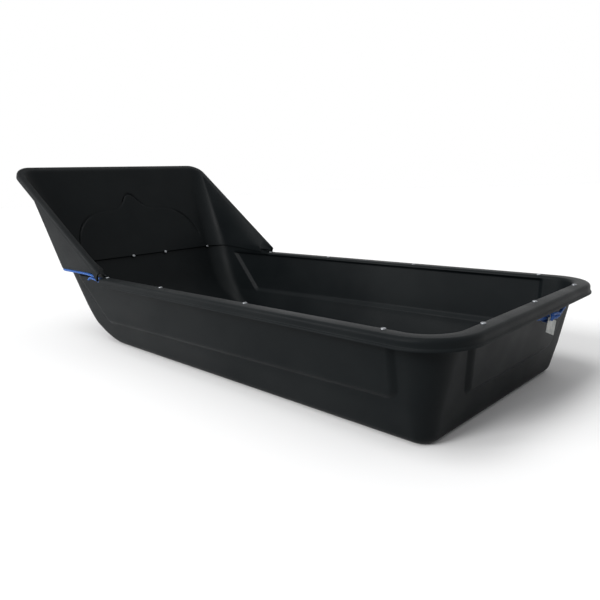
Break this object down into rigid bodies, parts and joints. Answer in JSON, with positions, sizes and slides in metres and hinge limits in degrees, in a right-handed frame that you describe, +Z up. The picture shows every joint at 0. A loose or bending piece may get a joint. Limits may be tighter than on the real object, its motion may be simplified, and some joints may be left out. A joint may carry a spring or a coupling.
{
  "type": "cargo sled",
  "caption": "Open drag-tub cargo sled of formed black plastic: rolled rim, tall nose extension screwed to the bow, and a blue rope run round under the rim.",
  "frame": {"origin": "on the ground, under the middle of the overall length and width", "axes": "+X forward to the nose, +Y to the sled's left, +Z up"},
  "size_m": [1.792, 0.8162, 0.612],
  "materials": {
    "tub_plastic": "satin black formed polyethylene with a fine grain",
    "nose_plastic": "satin black formed polyethylene with a fine grain",
    "screw_steel": "bright zinc plated",
    "rope": "twisted blue rope",
    "tag": "blank white card"
  },
  "bodies": {
    "root": {"tub_shell": "tub_plastic", "nose_extension": "nose_plastic", "rim_screws": "screw_steel", "seam_screws": "screw_steel", "perimeter_rope": "rope", "rope_knot": "rope", "tag_tie": "tag", "hang_tag": "tag"}
  },
  "joints": []
}
